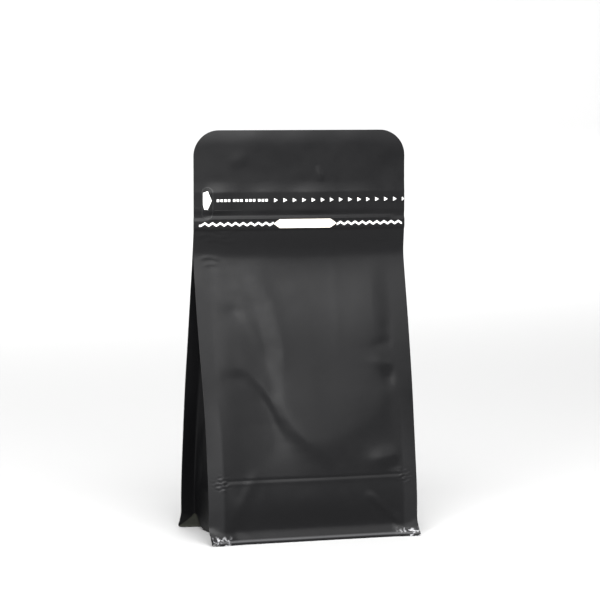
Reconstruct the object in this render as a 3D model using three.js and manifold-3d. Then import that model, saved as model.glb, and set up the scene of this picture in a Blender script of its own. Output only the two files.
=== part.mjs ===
// A shut, standing flat-bottom pouch of heat-sealed film, in millimetres, +Z up, front panel towards -Y.
// The origin is at the middle of the base, on the surface that the pouch stands on.
//
// The solid is the way a real pouch is put together: a front and a back panel, each one sheet with its
// seal fins at both sides and its seal skirt at the foot, and between them the filled body, whose side
// gussets fold inwards and whose base lies flat.

import * as THREE from "three";
import { mergeVertices } from "three/addons/utils/BufferGeometryUtils.js";
import Module from "manifold-3d";

// Driving dimensions
const HEIGHT = 251.5;
const HALF_WIDTH = 67.3; // from the middle to the free edge of a seal fin
const SEAL_FIN = 9.2; // width of the vertical seals
const SHEET = 0.9; // thickness of a panel, film and seal together
const BASE_HALF_DEPTH = 34.0; // middle of the base to the middle of a panel's thickness
const STRAIGHT_HEIGHT = 20; // up to here the panels stand upright
const SPLIT_HEIGHT = 175; // above here the seal fins lie together
const BODY_TOP = 188; // and above here the whole panels do
const TAPER_POWER = 1.41; // how the panels draw together between those two heights
const HEADER_HALF_GAP = 0.4; // middle of the header to the middle of a panel's thickness
const HALF_GUSSET = 34.2; // seal fin to the fold of the side gusset, along the film
const GUSSET_CLOSED_HEIGHT = 172; // the inward fold has run out here
const GUSSET_FULL_HEIGHT = 147; // and has its whole depth below here

const TOP_CORNER_RADIUS = 16;
const FOOT_CORNER_RADIUS = 7; // the front left corner of the skirt
const SMALL_CORNER_RADIUS = 1.5; // its other corners

const SKIRT_HEIGHT = 7; // the skirt leans out over this height
const SKIRT_FLARE = 3.3;
const CORNER_FLARE = 1.6; // what the skirt's ends lean out more
const SKIRT_ROOT_HEIGHT = 5.2; // where the base film leaves the panel
const CORNER_ROOT_HEIGHT = 9.6; // the same at the four corners of the body

const PANEL_BULGE = 3.0;
const HEADER_BOW = 3.2; // the header is bowed, its middle towards the front
const HEADER_LEAN = 2.7; // the header stands this much nearer the front than the base
const HEADER_TWIST = THREE.MathUtils.degToRad(3.4); // and is turned a little

const CREASE_HEIGHT = 38.5; // the base film's fold shows through the panels
const CREASE_RELIEF = 0.7;
const ZIP_BAND = { low: 190.5, high: 198, relief: 0.8 };
const TEAR_BAND = { low: 203.5, high: 214.5, relief: 0.35 };
const PULL_TAB = { x: -59.4, low: 198, high: 217.5, halfWidth: 3.6, relief: 0.6 };

const FILM_COLOUR = 0x1d1d1f;
const FILM_ROUGHNESS = 0.55;

const FIN_ROOT = HALF_WIDTH - SEAL_FIN;
const PANEL_STEPS = 11; // columns of faces across a panel between its fins

const wasm = await Module();
wasm.setup();

// 0 below `from`, 1 above `to`, and a smooth rise between
function rise(from, to, value) {
  return THREE.MathUtils.smoothstep(value, from, to);
}

// 1 between `low` and `high`, with short slopes outside
function band(low, high, slope, value) {
  return rise(low - slope, low, value) * (1 - rise(high, high + slope, value));
}

// Half the distance between the two panels' middle surfaces at the seal fins
function halfDepth(z) {
  const share = THREE.MathUtils.clamp((z - STRAIGHT_HEIGHT) / (SPLIT_HEIGHT - STRAIGHT_HEIGHT), 0, 1);
  const open = 1 - Math.pow(share, TAPER_POWER);
  return HEADER_HALF_GAP + (BASE_HALF_DEPTH - HEADER_HALF_GAP) * open;
}

// How far a panel stands out between its fins
function bulge(x, z) {
  const across = Math.max(0, 1 - Math.pow(Math.abs(x) / FIN_ROOT, 2.4));
  return PANEL_BULGE * across * rise(SKIRT_HEIGHT, 70, z) * (1 - rise(130, BODY_TOP - 3, z));
}

// How far the skirt leans out
function flare(x, z) {
  const down = Math.pow(Math.max(0, 1 - z / SKIRT_HEIGHT), 1.4);
  return down * (SKIRT_FLARE + CORNER_FLARE * Math.pow(Math.abs(x) / HALF_WIDTH, 8));
}

// Distance from the middle plane to the middle of a panel's thickness
function panelDistance(x, z) {
  return halfDepth(z) + bulge(x, z) + flare(x, z);
}

// The fold of the base film shows as a low ridge on both panels
function creaseRelief(x, z) {
  const along = 1 - rise(FIN_ROOT - 6, FIN_ROOT, Math.abs(x));
  return CREASE_RELIEF * along * band(CREASE_HEIGHT - 0.3, CREASE_HEIGHT + 0.3, 2, z);
}

// The zip, the tear band and the pull tab stand proud of the front panel
function frontRelief(x, z) {
  const zip = ZIP_BAND.relief * band(ZIP_BAND.low, ZIP_BAND.high, 1.5, z);
  const tear = TEAR_BAND.relief * band(TEAR_BAND.low, TEAR_BAND.high, 1.5, z);
  const tabAcross = band(PULL_TAB.x - PULL_TAB.halfWidth, PULL_TAB.x + PULL_TAB.halfWidth, 0.5, x);
  const tab = PULL_TAB.relief * tabAcross * band(PULL_TAB.low, PULL_TAB.high, 1, z);
  return creaseRelief(x, z) + Math.max(zip, tear, tab);
}

// Half the panel's width at a height, with round corners at the top and at the foot
function halfWidth(z, footRadius) {
  const above = Math.max(0, z - (HEIGHT - TOP_CORNER_RADIUS));
  const below = Math.max(0, footRadius - z);
  const topInset = TOP_CORNER_RADIUS - Math.sqrt(TOP_CORNER_RADIUS ** 2 - above ** 2);
  const footInset = footRadius - Math.sqrt(footRadius ** 2 - below ** 2);
  return HALF_WIDTH - topInset - footInset;
}

// Puts a point of the straight pouch where the bowed, leaning and slightly turned pouch has it
function placed(x, y, z) {
  const bow = HEADER_BOW * (1 - (x / HALF_WIDTH) ** 2) * rise(140, 190, z);
  const lean = HEADER_LEAN * rise(45, 135, z);
  const turn = -HEADER_TWIST * rise(55, 150, z);
  return new THREE.Vector3(
    x * Math.cos(turn) - (y - bow) * Math.sin(turn),
    x * Math.sin(turn) + (y - bow) * Math.cos(turn) - lean,
    z,
  );
}

// Heights of the rows of points that the panels and the body share
function wallHeights() {
  const heights = [10, 17, 25, 34];
  for (let z = 46; z < GUSSET_FULL_HEIGHT; z += 10) heights.push(z);
  return [...heights, 152, 158, 164, 169, 173, 176, 181, BODY_TOP];
}

// Heights of the rows of points of a panel, from the surface up
function panelHeights() {
  const foot = [0, 0.7, 1.5, 3, 5, 7];
  const crease = [-2.3, -0.3, 0.3, 2.3].map((step) => CREASE_HEIGHT + step);
  const body = [...wallHeights(), ...crease].sort((a, b) => a - b);
  const bands = [ZIP_BAND, TEAR_BAND].flatMap(({ low, high }) => [low - 1.5, low, high, high + 1.5]);
  const header = [PULL_TAB.high, PULL_TAB.high + 1, 226];
  const corner = [];
  for (let step = 0; step <= 6; step++) {
    const angle = (step / 6) * (Math.PI / 2);
    corner.push(HEIGHT - TOP_CORNER_RADIUS + TOP_CORNER_RADIUS * Math.sin(angle));
  }
  return [...foot, ...body, ...bands, ...header, ...corner];
}

// Places of the columns of points across a panel
function panelColumns() {
  const tabLeft = PULL_TAB.x - PULL_TAB.halfWidth;
  const tabRight = PULL_TAB.x + PULL_TAB.halfWidth;
  const columns = [-HALF_WIDTH, tabLeft - 0.5, tabLeft, tabRight, tabRight + 0.5];
  for (let step = 1; step < PANEL_STEPS; step++) {
    columns.push(-FIN_ROOT + (2 * FIN_ROOT * step) / PANEL_STEPS);
  }
  return [...columns, FIN_ROOT, HALF_WIDTH];
}

// A closed solid from vertices and triangles
function solidFrom(points, triangles) {
  const geometry = new THREE.BufferGeometry();
  const corners = triangles.flat().flatMap((index) => points[index].toArray());
  geometry.setAttribute("position", new THREE.Float32BufferAttribute(corners, 3));
  const merged = mergeVertices(geometry, 1e-4);
  return new wasm.Manifold(
    new wasm.Mesh({
      numProp: 3,
      vertProperties: new Float32Array(merged.getAttribute("position").array),
      triVerts: new Uint32Array(merged.index.array),
    }),
  );
}

// One panel: a sheet with an outer and an inner face. side is -1 for the front and 1 for the back.
function panelSolid(side) {
  const heights = panelHeights();
  const columns = panelColumns();
  const wide = columns.length;
  const points = [];
  for (const face of [1, -1]) {
    for (const z of heights) {
      for (const column of columns) {
        const footRadius = side < 0 && column < 0 ? FOOT_CORNER_RADIUS : SMALL_CORNER_RADIUS;
        const x = (column * halfWidth(z, footRadius)) / HALF_WIDTH;
        const relief = side < 0 ? frontRelief(column, z) : creaseRelief(column, z);
        const proud = face > 0 ? SHEET / 2 + relief : -SHEET / 2;
        points.push(placed(x, side * (panelDistance(x, z) + proud), z));
      }
    }
  }
  const innerStart = heights.length * wide;
  const at = (row, column) => row * wide + column;
  const triangles = [];
  const quad = (a, b, c, d) => {
    if (side < 0) triangles.push([a, b, c], [a, c, d]);
    else triangles.push([a, c, b], [a, d, c]);
  };
  for (let row = 0; row + 1 < heights.length; row++) {
    for (let column = 0; column + 1 < wide; column++) {
      const a = at(row, column);
      const d = at(row + 1, column);
      quad(a, a + 1, d + 1, d);
      quad(innerStart + a, innerStart + d, innerStart + d + 1, innerStart + a + 1);
    }
    const left = at(row, 0);
    const right = at(row, wide - 1);
    quad(left, left + wide, innerStart + left + wide, innerStart + left);
    quad(right, innerStart + right, innerStart + right + wide, right + wide);
  }
  for (let column = 0; column + 1 < wide; column++) {
    const top = at(heights.length - 1, column);
    quad(column, innerStart + column, innerStart + column + 1, column + 1);
    quad(top, top + 1, innerStart + top + 1, innerStart + top);
  }
  return solidFrom(points, triangles);
}

// How deep the side gusset folds in at a height
function gussetDepth(z) {
  const reach = Math.min(halfDepth(z), HALF_GUSSET - 0.3);
  const depth = Math.sqrt(HALF_GUSSET ** 2 - reach ** 2);
  return depth * (1 - rise(GUSSET_FULL_HEIGHT, GUSSET_CLOSED_HEIGHT, z));
}

// The stations round the body: across the front, in and out along the right gusset, and so on.
// `across` runs from -1 to 1 along a panel or, from front to back, along a gusset.
function bodyStations() {
  const gusset = [-1, -0.85, -0.7, -0.4, -0.15, 0, 0.15, 0.4, 0.7, 0.85];
  const panel = Array.from({ length: PANEL_STEPS }, (unused, step) => -1 + (2 * step) / PANEL_STEPS);
  return [
    ...panel.map((across) => ({ part: "panel", side: -1, across })),
    ...gusset.map((across) => ({ part: "gusset", side: 1, across })),
    ...panel.map((across) => ({ part: "panel", side: 1, across: -across })),
    ...gusset.map((across) => ({ part: "gusset", side: -1, across: -across })),
  ];
}

// The body's outline at a station and a height, before it is bowed and turned
function bodyPoint(station, z) {
  if (station.part === "panel") {
    const x = station.across * FIN_ROOT;
    return { x, y: station.side * panelDistance(x, z) };
  }
  const power = 1.1 + 0.9 * (1 - rise(20, 80, z));
  const inset = gussetDepth(z) * (1 - Math.pow(Math.abs(station.across), power));
  return {
    x: station.side * (FIN_ROOT - inset),
    y: station.across * panelDistance(FIN_ROOT, z),
  };
}

// Where the base film leaves the wall: high at the four corners, near the surface between them
function wallFoot(station) {
  const away = Math.abs(station.across);
  if (station.part === "panel") {
    return SKIRT_ROOT_HEIGHT + (CORNER_ROOT_HEIGHT - SKIRT_ROOT_HEIGHT) * rise(0.8, 1, away);
  }
  return 0.8 + (CORNER_ROOT_HEIGHT - 0.8) * rise(0.6, 1, away);
}

// The filled body between the panels, from its flat base up into the header
function bodySolid() {
  const stations = bodyStations();
  const around = stations.length;
  const baseRings = [
    { inward: 1, lift: 0, flat: true },
    { inward: 0.75, lift: 0.12 },
    { inward: 0.35, lift: 0.45 },
    { inward: 0, lift: 1 },
  ];
  const heights = wallHeights().filter((z) => z > CORNER_ROOT_HEIGHT + 1);
  const flatReach = { x: 48 / FIN_ROOT, y: 25 / BASE_HALF_DEPTH };
  const points = [];
  for (const ring of baseRings) {
    for (const station of stations) {
      const foot = wallFoot(station);
      const { x, y } = bodyPoint(station, foot);
      const towards = (reach) => 1 - (1 - reach) * ring.inward;
      points.push(placed(x * towards(flatReach.x), y * towards(flatReach.y), foot * ring.lift));
    }
  }
  for (const z of heights) {
    for (const station of stations) {
      const { x, y } = bodyPoint(station, z);
      points.push(placed(x, y, z));
    }
  }
  const rings = baseRings.length + heights.length;
  const baseMiddle = points.push(placed(0, 0, 0)) - 1;
  const topMiddle = points.push(placed(0, 0, heights.at(-1))) - 1;
  const triangles = [];
  for (let ring = 0; ring + 1 < rings; ring++) {
    for (let step = 0; step < around; step++) {
      const a = ring * around + step;
      const b = ring * around + ((step + 1) % around);
      triangles.push([a, b, b + around], [a, b + around, a + around]);
    }
  }
  for (let step = 0; step < around; step++) {
    const next = (step + 1) % around;
    const top = (rings - 1) * around;
    triangles.push([baseMiddle, next, step], [topMiddle, top + step, top + next]);
  }
  return solidFrom(points, triangles);
}

// The mesh of a finished solid
function meshOf(name, solid, material) {
  const { vertProperties, triVerts } = solid.getMesh();
  const geometry = new THREE.BufferGeometry();
  geometry.setAttribute("position", new THREE.BufferAttribute(vertProperties, 3));
  geometry.setIndex(new THREE.BufferAttribute(triVerts, 1));
  geometry.computeVertexNormals();
  const mesh = new THREE.Mesh(geometry, material);
  mesh.name = name;
  return mesh;
}

const film = new THREE.MeshStandardMaterial({
  color: FILM_COLOUR,
  roughness: FILM_ROUGHNESS,
  metalness: 0,
});

const pouchSolid = bodySolid().add(panelSolid(-1)).add(panelSolid(1));

const group = new THREE.Group();
group.add(meshOf("pouch", pouchSolid, film));

export default group;
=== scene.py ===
"""A shut, standing flat-bottom pouch of matt black film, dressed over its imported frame.

Shapes are worked out in millimetres, with X across the pouch, -Y towards its front panel and Z up, and
are written to the meshes in metres. Each film of the real pouch is a thin closed sheet of its own.
"""

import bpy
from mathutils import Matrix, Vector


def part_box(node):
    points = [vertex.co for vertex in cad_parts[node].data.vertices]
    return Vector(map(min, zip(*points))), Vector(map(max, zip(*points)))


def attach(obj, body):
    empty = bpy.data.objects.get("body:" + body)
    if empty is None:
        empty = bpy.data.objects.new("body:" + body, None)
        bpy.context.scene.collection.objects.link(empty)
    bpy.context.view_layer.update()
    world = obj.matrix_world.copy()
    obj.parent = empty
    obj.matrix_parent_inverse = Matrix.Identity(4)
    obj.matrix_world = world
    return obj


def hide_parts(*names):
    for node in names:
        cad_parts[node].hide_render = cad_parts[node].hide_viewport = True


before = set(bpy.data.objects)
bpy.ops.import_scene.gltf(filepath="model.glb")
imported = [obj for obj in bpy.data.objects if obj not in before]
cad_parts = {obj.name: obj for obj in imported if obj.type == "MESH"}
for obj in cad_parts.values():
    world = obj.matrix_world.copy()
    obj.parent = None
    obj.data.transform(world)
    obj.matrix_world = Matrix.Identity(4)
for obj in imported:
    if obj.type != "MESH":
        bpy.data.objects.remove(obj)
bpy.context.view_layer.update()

import math

import bmesh
import bpy
import numpy as np
from bpy.props import FloatProperty, FloatVectorProperty, PointerProperty
from mathutils import Vector

bl_info = {
    "name": "Flat-Bottom Pouch",
    "version": (1, 0, 0),
    "blender": (4, 5, 0),
    "location": "3D View > Sidebar > Pouch",
    "description": "Builds a standing flat-bottom pouch of matt film, with its zip, tear band and print",
    "category": "Add Mesh",
}

MM = 0.001
NODE = "pouch"
BODY = "root"
NODE_LOW, NODE_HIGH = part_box(NODE)


# Sizes, colours and studio values that a user would change


class PouchSizes(bpy.types.PropertyGroup):
    """Sizes of the pouch"""

    half_width: FloatProperty(
        name="Half width",
        description="Middle to the free edge of a seal fin",
        default=67.3 * MM,
        unit="LENGTH",
    )
    seal_fin: FloatProperty(
        name="Seal fin",
        description="Width of the vertical seals",
        default=9.2 * MM,
        unit="LENGTH",
    )
    panel_film: FloatProperty(
        name="Panel film",
        description="Thickness of the front and back film",
        default=0.4 * MM,
        unit="LENGTH",
    )
    inner_film: FloatProperty(
        name="Inner film",
        description="Thickness of the gussets and the base film",
        default=0.25 * MM,
        unit="LENGTH",
    )
    base_half_depth: FloatProperty(
        name="Base half depth",
        description="Middle of the base to the middle of a panel film",
        default=34.25 * MM,
        unit="LENGTH",
    )
    half_gusset: FloatProperty(
        name="Half gusset",
        description="Seal fin to the fold of a side gusset",
        default=34.2 * MM,
        unit="LENGTH",
    )
    crease_height: FloatProperty(
        name="Crease height",
        description="Height of the base film's fold",
        default=38.2 * MM,
        unit="LENGTH",
    )
    skirt_flare: FloatProperty(
        name="Skirt flare",
        description="How far the foot skirts lean out",
        default=3.3 * MM,
        unit="LENGTH",
    )
    zip_height: FloatProperty(
        name="Zip height",
        description="Height of the middle of the zip",
        default=193.9 * MM,
        unit="LENGTH",
    )
    tear_height: FloatProperty(
        name="Tear height",
        description="Height of the middle of the tear band",
        default=208.4 * MM,
        unit="LENGTH",
    )


class PouchColours(bpy.types.PropertyGroup):
    """Colours of the pouch"""

    film: FloatVectorProperty(
        name="Film", description="Matt black film", default=(0.0036, 0.0036, 0.0040), size=3, subtype="COLOR"
    )
    # The base film is given a lighter colour than the black panel film: a painted highlight for its faces
    # that turn up at the foot.
    base_film: FloatVectorProperty(
        name="Base film",
        description="Underside of the base film",
        default=(0.022, 0.023, 0.018),
        size=3,
        subtype="COLOR",
    )
    print_white: FloatVectorProperty(
        name="White print",
        description="Arrow, triangles, dashes and zig-zag",
        default=(0.80, 0.80, 0.78),
        size=3,
        subtype="COLOR",
    )
    print_cream: FloatVectorProperty(
        name="Cream print",
        description="Lozenge on the zip",
        default=(0.86, 0.80, 0.70),
        size=3,
        subtype="COLOR",
    )
    print_brown: FloatVectorProperty(
        name="Brown print",
        description="Fine dashes on the lozenge",
        default=(0.30, 0.22, 0.16),
        size=3,
        subtype="COLOR",
    )


class PouchStudio(bpy.types.PropertyGroup):
    """Floor, lights and camera"""

    key_power: FloatProperty(
        name="Key light", description="Power of the large light", default=90.0, unit="POWER"
    )
    fill_power: FloatProperty(
        name="Fill light", description="Power of the weak light at the right", default=11.0, unit="POWER"
    )
    top_power: FloatProperty(
        name="Top light", description="Power of the light overhead", default=15.0, unit="POWER"
    )
    back_power: FloatProperty(
        name="Back light", description="Power of the light over the floor behind", default=180.0, unit="POWER"
    )
    surround: FloatProperty(
        name="Surround", description="Brightness of the room's even light", default=0.17, min=0.0, max=2.0
    )


# Curves that the pouch's form is put together from


def rise(start, end, value):
    """0 below start, 1 above end, and a smooth rise between."""
    share = np.clip((value - start) / (end - start), 0.0, 1.0)
    return share * share * (3.0 - 2.0 * share)


def fall(start, end, value):
    """1 below start, 0 above end, and a smooth fall between."""
    return 1.0 - rise(start, end, value)


def band(low, high, slope, value):
    """1 between low and high, with short slopes outside."""
    return rise(low - slope, low, value) * fall(high, high + slope, value)


def bell(offset, width):
    """1 in the middle of a soft ridge, fading out on both sides of it."""
    return np.exp(-((offset / width) ** 2))


def wave(x, z, form):
    """A sine wave from its height, its turn in radians for each millimetre of x and of z, and its start."""
    height, turn_x, turn_z, start = form
    return height * np.sin(turn_x * x + turn_z * z + start)


def soft_least(first, second, softness):
    """The lesser of two values, with a soft turn where they cross."""
    return 0.5 * (first + second - np.sqrt((first - second) ** 2 + softness**2))


def hump(x, z, form):
    """A soft oval hump, or a dent where its height is negative."""
    turn = math.radians(form["turn"])
    along = (x - form["x"]) * math.cos(turn) + (z - form["z"]) * math.sin(turn)
    across = -(x - form["x"]) * math.sin(turn) + (z - form["z"]) * math.cos(turn)
    return form["height"] * np.exp(-((along / form["long"]) ** 2) - (across / form["wide"]) ** 2)


FOLD_END_WIDTHS = 3  # a fold fades out over this many times its half width, and a short one over half of it


def fold(x, z, form):
    """A soft ridge along the line from one place to another, fading out at its ends."""
    (x1, z1), (x2, z2) = form["start"], form["end"]
    length = math.hypot(x2 - x1, z2 - z1)
    along = ((x - x1) * (x2 - x1) + (z - z1) * (z2 - z1)) / length
    across = ((x - x1) * (z2 - z1) - (z - z1) * (x2 - x1)) / length
    fade = min(length / 2, FOLD_END_WIDTHS * form["wide"])
    return form["height"] * band(0.0, length, fade, along) * bell(across, form["wide"])


# The slack front film's soft forms, in millimetres

# Humps and dents: place, reach along and across, turn in degrees, height.
HUMPS = [
    {"x": -38, "z": 155, "long": 16, "wide": 8, "turn": -35, "height": 0.7},
    {"x": -44, "z": 140, "long": 7, "wide": 4, "turn": -10, "height": -0.5},
    {"x": 54, "z": 129, "long": 5, "wide": 5.0, "turn": 30, "height": -0.3},
    {"x": 50, "z": 119, "long": 7, "wide": 3.6, "turn": 15, "height": -0.5},
    {"x": 48, "z": 107, "long": 8, "wide": 3.2, "turn": -12, "height": 0.45},
    {"x": 52, "z": 98, "long": 6, "wide": 5.5, "turn": 20, "height": -0.9},
    {"x": 45, "z": 48.5, "long": 9, "wide": 5.5, "turn": 6, "height": 1.8},
    {"x": 54, "z": 44, "long": 10, "wide": 4, "turn": -8, "height": -0.9},
    {"x": -47, "z": 100, "long": 9, "wide": 4.5, "turn": 0, "height": -0.5},
    {"x": -48, "z": 20, "long": 5, "wide": 14, "turn": 22, "height": 0.7},
    {"x": -40, "z": 233, "long": 5, "wide": 4, "turn": 20, "height": 0.3},
    {"x": 59, "z": 229, "long": 8, "wide": 7, "turn": 30, "height": -0.6},
    {"x": -8, "z": 231, "long": 20, "wide": 9, "turn": 12, "height": -0.3},
    {"x": 12, "z": 224, "long": 2.0, "wide": 1.4, "turn": -40, "height": 0.3},
]
# Folds: the two ends, half width, height.
FOLDS = [
    {"start": (-38, 140), "end": (-30, 122), "wide": 3.5, "height": 0.2},
    {"start": (-36, 105), "end": (1, 58), "wide": 7.0, "height": 0.6},
    {"start": (-27, 155), "end": (-16, 95), "wide": 8.0, "height": 0.3},
    {"start": (22, 172), "end": (20, 118), "wide": 3.0, "height": 0.05},
    {"start": (-40, 37), "end": (-56, 8), "wide": 3.6, "height": 0.5},
    {"start": (37, 25), "end": (57, 8), "wide": 2.2, "height": 0.7},
    {"start": (11, 227), "end": (13, 222), "wide": 1.3, "height": 0.3},
]
# Short level wrinkles that the zip pulls into the film below it: x from, x to, z, height.
WRINKLES = [
    (-62, -40, 189.3, 0.22),
    (-64, -46, 186.6, 0.20),
    (-60, -42, 183.6, 0.16),
    (-63, -52, 172.6, 0.22),
    (-61, -53, 168.6, 0.20),
    (40, 58, 183.2, 0.10),
]


class PouchForm:
    """The surfaces of the straight pouch, and the bow, lean and turn of the standing one.

    Sizes and places are in millimetres. A pair whose name ends in RISES or FALLS holds the places where a
    smooth change starts and ends, and a WAVE holds what the wave function reads.
    """

    # Side outline: upright at the foot, drawn together towards the header
    HEADER_HALF_GAP = 0.22
    STRAIGHT_HEIGHT = 20.0
    SPLIT_HEIGHT = 175.0
    TAPER_POWER = 1.41
    SPLIT_SOFTNESS = 2.4
    SPLIT_SOFTNESS_RISES = (40.0, 150.0)

    # Both panels between their seal fins
    FULLNESS_POWER = 2.4
    FIN_BLEND_RISES = (0.0, 0.5)
    FOOT_RISES = (8.0, 30.0)
    BACK_BULGE = 4.0
    BACK_BULGE_FALLS = (50.0, 150.0)
    BACK_ROOM = 0.4
    BACK_SOFTNESS = 1.0

    # Front film: the lower wall, and the slope that meets it in a curved edge
    EDGE_MIDDLE = 1.0
    EDGE_LEFT = 40.0
    EDGE_RIGHT = 42.0
    EDGE_SOFTNESS = 0.5
    WALL_FOOT = 33.8
    WALL_LEAN = 0.105
    SLOPE_LOW = 59.0
    SLOPE_FOOT = 31.7
    SLOPE_LEAN = 0.262
    SLOPE_SWELL = 1.8
    SLOPE_SWELL_RISES = (92.0, 155.0)
    SLOPE_TURN = 0.0022
    SLOPE_TURN_FROM = 5.0
    SLOPE_TURN_REACH = 30.0
    SLOPE_TURN_FALLS = (88.0, 126.0)

    # Front film: the hollow at the left, deeper below its brow than above it
    HOLLOW_HEIGHTS = (24.0, 40.0, 54.0, 72.0, 86.0, 98.0)
    HOLLOW_DEPTHS = (0.0, 0.4, 1.4, 2.6, 2.9, 2.8)
    HOLLOW_RISES = (-58.0, -29.0)
    HOLLOW_ABOVE = 1.6
    HOLLOW_ABOVE_RISES = (62.0, 92.0)
    HOLLOW_ABOVE_FALLS = (106.0, 140.0)
    BROW_MIDDLE = -44.0
    BROW_DROP_LEFT = 0.02
    BROW_DROP_RIGHT = 0.05
    BROW_RISES = (96.0, 107.0)
    BROW_FOOT_RISES = (58.0, 90.0)

    # Front film: the face between the hollow and the slope, by height, and the shoulder at the right
    FACE_HEIGHTS = (30.0, 48.0, 54.0, 60.0, 67.0, 75.0, 84.0, 94.0, 118.0, 146.0, 166.0)
    FACE_STARTS = (-45.0, -36.0, -30.0, -26.0, -25.0, -27.0, -28.5, -28.0, -27.0, -33.0, -44.0)
    FACE_ENDS = (18.0, 14.0, 7.0, -1.0, -9.0, -14.0, -16.5, -15.5, -13.5, -18.0, -29.0)
    SHOULDER = 1.1
    SHOULDER_START = 5.0
    SHOULDER_TOP = 46.0
    SHOULDER_RISES = (60.0, 90.0)
    BELLY_FALLS = (122.0, 178.0)

    # Free edges of the seal fins, drawn back: left and right
    CURL = (-0.3, 0.15)
    LOW_CURL = (2.7, 1.7)
    LOW_CURL_FALLS = (50.0, 105.0)
    CURL_POWER = 1.2
    CURL_RISES = (5.0, 12.0)
    CURL_FALLS = (140.0, 175.0)

    # Foot skirts, and the tuck over them
    SKIRT_HEIGHT = 8.5
    LIP_HEIGHT = 1.9
    MIDDLE_SHARE = 0.45
    CORNER_FLARE = 1.6
    FLARE_POWER = 1.7
    FLARE_SPREAD_POWER = 8
    SKIRT_ROOT_HEIGHT = 5.2
    CORNER_ROOT_HEIGHT = 9.6
    TUCK = 1.6
    TUCK_MARGIN = 8.0
    TUCK_RISES = (-3.0, 10.0)
    TUCK_FALLS = (8.0, 27.0)

    # Crease: a groove over a ridge, with crinkles at its ends
    CREASE_MARGIN = 4.0
    GROOVE_ABOVE = 0.5
    GROOVE_WIDTH = 0.9
    GROOVE_DEPTH = 0.30
    RIDGE_BELOW = 1.4
    RIDGE_WIDTH = 1.2
    RIDGE_HEIGHT = 0.10
    KNOT_OUT = 1.0
    KNOT_BELOW = 1.5
    KNOT_WIDE = 3.6
    KNOT_HIGH = 4.0
    KNOT_HEIGHT = 0.17
    KNOT_SIDES = ((-1, 1.0), (1, 0.8))  # side, share of the height
    KNOT_WAVES = ((1.2, 2.3, 0.4), (-1.5, 1.6, 2.1), (0.5, -2.6, 4.0), (1.7, 0.6, 1.3))
    KNOT_START_SHIFT = 1.5

    # Header: the swell over the tear band, the zip's ridge and track, and soft waves
    HEADER_END_INSIDE = 2.0
    HEADER_END_OUTSIDE = 4.0
    TEAR_TOP = 13.0
    TEAR_TOP_SLOPE = 8.0
    TEAR_TOP_POWER = 1.9
    TEAR_FOOT = 9.0
    TEAR_FOOT_TOP = 6.0
    TEAR_SWELL = 0.8
    TEAR_SHARE_AT_FINS = 0.35
    TEAR_WAVES = ((0.3, 0.085, 0.0, 0.8), (0.25, 0.21, 0.0, 0.0))
    ZIP_RIDGE_ABOVE = 3.0
    ZIP_RIDGE_WIDTH = 1.0
    ZIP_RIDGE_HEIGHT = 1.05
    ZIP_TRACK_BELOW = 3.0
    ZIP_TRACK_ABOVE = 2.4
    ZIP_TRACK_SLOPE = 0.9
    ZIP_TRACK_HEIGHT = 0.75
    BACK_TRACK_ABOVE = 3.4
    BACK_TRACK_HEIGHT = 0.35
    SWAY_WAVE = (0.25, 0.075, 0.06, 1.0)
    SWAY_RISES = (214.0, 240.0)
    TOP_EDGE_WAVE = (0.15, 0.19, 0.0, 0.5)
    TOP_EDGE_RISES = (236.0, 252.0)
    TOP_EDGE_BACK = 1.0
    TOP_EDGE_FOOT = 242.0
    TOP_EDGE_HEIGHT = 9.5

    # Wrinkles and dents
    WRINKLE_WAVE = (0.8, 0.35, 0.0, 0.0)
    WRINKLE_WIDTH = 1.0
    WRINKLE_END = 2.0
    WRINKLE_END_SLOPE = 4.0
    DENT_MARGIN = 6.0
    DENT_MARGIN_FALLS = (182.0, 192.0)

    # Outline of a panel, and the side gussets
    TOP_CORNER_RADIUS = 16.0
    FOOT_CORNER_RADIUS = 7.0
    SMALL_CORNER_RADIUS = 1.5
    GUSSET_SLACK = 0.3

    # The standing pouch
    HEADER_BOW = 3.2
    HEADER_BOW_RISES = (156.0, 192.0)
    HEADER_LEAN = 1.1
    HEADER_LEAN_RISES = (45.0, 135.0)
    ZIP_LEAN = 2.2
    ZIP_LEAN_RISES = (172.0, 194.0)
    HEADER_TWIST = math.radians(3.4)
    HEADER_TWIST_RISES = (55.0, 150.0)

    def __init__(self, sizes):
        self.height = (NODE_HIGH[2] - NODE_LOW[2]) / MM
        self.half_width = sizes.half_width / MM
        self.fin_root = (sizes.half_width - sizes.seal_fin) / MM
        self.panel_film = sizes.panel_film / MM
        self.inner_film = sizes.inner_film / MM
        self.base_half_depth = sizes.base_half_depth / MM
        self.half_gusset = sizes.half_gusset / MM
        self.crease = sizes.crease_height / MM
        self.skirt_flare = sizes.skirt_flare / MM
        self.zip = sizes.zip_height / MM
        self.tear = sizes.tear_height / MM

    def half_depth(self, z):
        """Half the distance between the two panel films at the seal fins."""
        share = np.clip(z - self.STRAIGHT_HEIGHT, 0.0, None) / (self.SPLIT_HEIGHT - self.STRAIGHT_HEIGHT)
        depth = (self.base_half_depth - self.HEADER_HALF_GAP) * (1.0 - share**self.TAPER_POWER)
        softness = self.SPLIT_SOFTNESS * rise(*self.SPLIT_SOFTNESS_RISES, z)
        return self.HEADER_HALF_GAP + 0.5 * (depth + np.sqrt(depth**2 + softness**2))

    def fullness(self, x):
        """1 along the middle of a panel, 0 at its seal fins."""
        return np.clip(1.0 - (np.abs(x) / self.fin_root) ** self.FULLNESS_POWER, 0.0, None)

    def fin_blend(self, x):
        """0 at a seal fin, 1 a little way into the panel."""
        return rise(*self.FIN_BLEND_RISES, self.fullness(x))

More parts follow.
